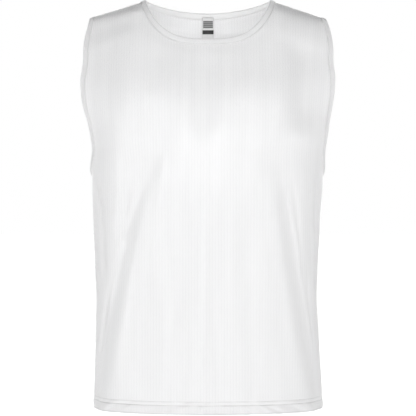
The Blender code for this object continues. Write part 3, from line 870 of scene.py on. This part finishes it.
halfSteps = binding["around"] // 2
openings = (                                 # piece, node, stitch rows, turned inside out, length, curve
    ("neckBinding", "neck_binding", binding["neckRows"], False,
     binding["neckLength"], neckCurve),
    ("armholeBindingLeft", "armhole_binding_left", binding["armRows"], False,
     binding["armLength"], lambda side, inset, steps: armCurve(side, 1, inset, steps)),
    ("armholeBindingRight", "armhole_binding_right", binding["armRows"], True,
     binding["armLength"], lambda side, inset, steps: armCurve(side, -1, inset, steps)),
)
for name, node, rows, mirrored, length, curve in openings:
    piece = makeBinding(curve, rows, mirrored)
    finishPiece(piece, name, bandFinish, "binding_polyester", node)
    print(name, len(piece.data.polygons), "faces")


def squareTo(out, along):                    # the ways out, made square to the ways along
    out = out - along * np.sum(out * along, axis=-1, keepdims=True)
    return out / np.linalg.norm(out, axis=-1, keepdims=True)


def spacedOut(points, outward):              # places, ways along and ways out at each stitch of a row
    run = np.concatenate(([0.0], np.cumsum(np.linalg.norm(np.diff(points, axis=0), axis=1))))
    count = int(run[-1] / stitch["pitch"])
    at = (np.arange(count) + 0.5) * run[-1] / count
    place, out = [np.stack([np.interp(at, run, values[:, k]) for k in range(3)], axis=-1)
                  for values in (points, outward)]
    ahead = np.stack([np.interp(at + stitch["ahead"], run, points[:, k]) for k in range(3)], axis=-1)
    along = (ahead - place) / np.linalg.norm(ahead - place, axis=-1, keepdims=True)
    return place, along, squareTo(out, along)


def makeStitches(rows):                      # one stitch, repeated along the rows
    place, along, out = [np.concatenate(part) for part in zip(*rows)]
    bpy.ops.object.select_all(action="DESELECT")
    bpy.ops.mesh.primitive_uv_sphere_add(segments=stitch["sides"], ring_count=stitch["rings"], radius=1)
    obj = bpy.context.object
    one = np.empty(len(obj.data.vertices) * 3)
    obj.data.vertices.foreach_get("co", one)
    one = one.reshape(-1, 3) * (stitch["radius"], stitch["radius"], stitch["length"] / 2)
    copies = obj.modifiers.new("copies", "ARRAY")
    copies.count = len(place)
    applyAll(obj)
    aside = np.cross(along, out)
    points = (place[:, None] + one[None, :, 2:] * along[:, None] + one[None, :, :1] * out[:, None]
              + one[None, :, 1:2] * aside[:, None])
    newMesh(obj, points)
    run = one[None, :, 2] + stitch["pitch"] * np.arange(len(place))[:, None]
    storeVector(obj, "cloth", np.stack((run, 0 * run, 0 * run), axis=-1))
    obj.data.shade_smooth()
    return obj


def ringRow(curve, inset, height, inward=1):
    steps = 3 * halfSteps
    lead, trail = [(clothPoint(side, *curve(side, inset, steps), height),
                    inward * formNormal(side, *curve(side, inset, steps))) for side in (front, back)]
    return spacedOut(*[np.concatenate((a, b[-2::-1])) for a, b in zip(lead, trail)])


def hemRow(side, up):                        # a stitch at each beat across, between the needle holes
    reach = halfWidth(np.array([-1.0, 1.0]), cut["length"] - up) * girths[-1]
    beat = stitch["pitch"] * np.arange(-int(reach[0] / stitch["pitch"]) + 1, int(reach[1] / stitch["pitch"]))
    w = np.where(beat < 0, beat / reach[0], beat / reach[1])
    v = hemRun(w, up)
    place, ahead = [clothPoint(side, w + step, v, proud) for step in (0.0, stitch["hemAhead"])]
    along = (ahead - place) / np.linalg.norm(ahead - place, axis=-1, keepdims=True)
    return place, along, squareTo(formNormal(side, w, v), along)


proud = stitch["radius"] * stitch["proud"]
for side in (front, back):
    piece = makeStitches([hemRow(side, up) for up in pucker["rows"]])
    finishPiece(piece, "hemStitches" + sideName[side].title(), threadFinish, "binding_polyester")
    print(piece.name, len(piece.data.polygons), "faces")
for name, node, rows, mirrored, length, curve in openings:
    sewn = [ringRow(curve, row, bandHeight(row, rows) + proud) for row in rows]
    if name == "neckBinding":                # the row's underside shows through the neck
        sewn += [ringRow(curve, row, binding["inner"] - proud, -1) for row in rows]
    piece = makeStitches(sewn)
    finishPiece(piece, name.replace("Binding", "") + "Stitches", threadFinish, "binding_polyester")
    print(piece.name, len(piece.data.polygons), "faces")


label = {
    "width": 0.0205, "length": 0.044, "wall": 0.0005,
    "tuck": 0.005,                           # how far its top lies under the binding
    "depth": 0.0030,                         # how far it stands inside the cloth
    "points": (13, 31),                      # across and down
}


def makeLabel():
    across = np.linspace(-label["width"] / 2, label["width"] / 2, label["points"][0])
    down = np.linspace(label["length"], 0, label["points"][1])
    x = np.tile(across, (len(down), 1))
    drop = np.tile(down[:, None], (1, len(across)))
    z = -(cut["neckDrop"][back] + cut["band"] - label["tuck"] + drop)
    points = clothPoint(back, girthShare(x, z), runOf(shoulderLine(x) - z), -label["depth"])
    obj = clothSheet(points, np.stack((x, drop, 0 * x), axis=-1))
    wall = obj.modifiers.new("wall", "SOLIDIFY")
    wall.thickness, wall.offset = label["wall"], 1
    applyAll(obj)
    return obj


piece = makeLabel()
finishPiece(piece, "neckLabel", labelFinish, "label_satin", "neck_label")
print("neckLabel made")


stage = {
    "floor": -0.80, "size": 60.0, "grey": 0.25, "roughness": 0.9,
    "seen": 1.0,                             # white that the camera sees behind the bib
    "glow": 0.68, "sky": 1.35,               # light from the floor and from the walls beside and behind
    "wallTop": (-0.05, 0.50),                # heights between which the walls' light dies away, as shares
}


def makeStage():
    bpy.ops.object.select_all(action="DESELECT")
    bpy.ops.mesh.primitive_plane_add(size=stage["size"], location=(0, 0, stage["floor"]))
    floor = bpy.context.object
    floor.name = "floor"
    pale = Finish("paleFloor", stage)
    seen = pale.node("LightPath", output="Is Camera Ray")
    for socket, value in (("Roughness", stage["roughness"]), ("Base Color", grey(stage["grey"])),
                          ("Emission Color", white),
                          ("Emission Strength", seen * (stage["seen"] - stage["glow"]) + stage["glow"])):
        pale.plug(pale.shader.inputs[socket], value)
    floor.data.materials.append(pale.material)
    world = bpy.data.worlds.new("studio")
    bpy.context.scene.world = world
    room = Tree(world)
    x, y, z = room.parts(room.node("TexCoord", output="Generated"))
    walls = (x.abs() + y.above(0.0)) * (1 - z.step(*stage["wallTop"]))
    seen = room.node("LightPath", output="Is Camera Ray")
    light = room.nodes["Background"].inputs
    room.plug(light["Strength"], walls * stage["sky"] * (1 - seen) + seen * stage["seen"])
    light["Color"].default_value = white


lamps = {                                    # place, size, watts, and what it points at if not the middle
    "high": ((0.0, -3.0, 0.60), (1.6, 0.4), 8.0),
    "level": ((0.0, -3.0, 0.10), (1.6, 0.4), 9.7),
    "low": ((0.0, -3.0, -0.30), (1.6, 0.4), 12.6),
    "besideRight": ((-1.5, -2.8, -0.80), (0.8, 1.0), 9.0),
    "besideLeft": ((1.5, -2.8, -0.10), (0.8, 1.0), 9.6),
    "lowRight": ((-2.6, -2.0, -0.90), (1.2, 1.0), 30.0),
    "lowLeft": ((2.6, -2.0, -0.90), (1.2, 1.0), 15.0),
    "behind": ((0.0, 3.0, 0.20), (2.0, 1.6), 32.0),
    "above": ((0.0, 0.2, 2.00), (1.2, 1.2), 14.0),
    "inside": ((0.012, -0.03, -0.19), (0.16, 0.06), 0.085, (0.022, 0.085, -0.05)),   # for the back's inside
}


def makeLamps():
    for name, (place, size, watts, *aimed) in lamps.items():
        data = bpy.data.lights.new(name, "AREA")
        data.shape, data.size, data.size_y, data.energy = "RECTANGLE", size[0], size[1], watts
        lamp = bpy.data.objects.new(name, data)
        bpy.context.scene.collection.objects.link(lamp)
        lamp.location = place
        lamp.visible_camera = False
        aim = aimed[0] if aimed else cadMiddle
        lamp.rotation_euler = (lamp.location - Vector(aim)).to_track_quat("Z", "Y").to_euler()


cadMiddle = (cadBox[0] + cadBox[1]) / 2
camera = {
    "away": 3.5, "height": -0.3604, "sensor": 36.0,
    "span": 0.7226,                          # width seen at the middle plane
}


def makeCamera():
    data = bpy.data.cameras.new("camera")
    data.sensor_width = camera["sensor"]
    data.lens = camera["sensor"] * camera["away"] / camera["span"]
    eye = bpy.data.objects.new("camera", data)
    bpy.context.scene.collection.objects.link(eye)
    eye.location = (0, -camera["away"], camera["height"])
    eye.rotation_euler = (radians(90), 0, 0)
    bpy.context.scene.camera = eye


makeStage()
makeLamps()
makeCamera()
bpy.context.scene.view_settings.view_transform = "Standard"
print("stage, light and camera set")
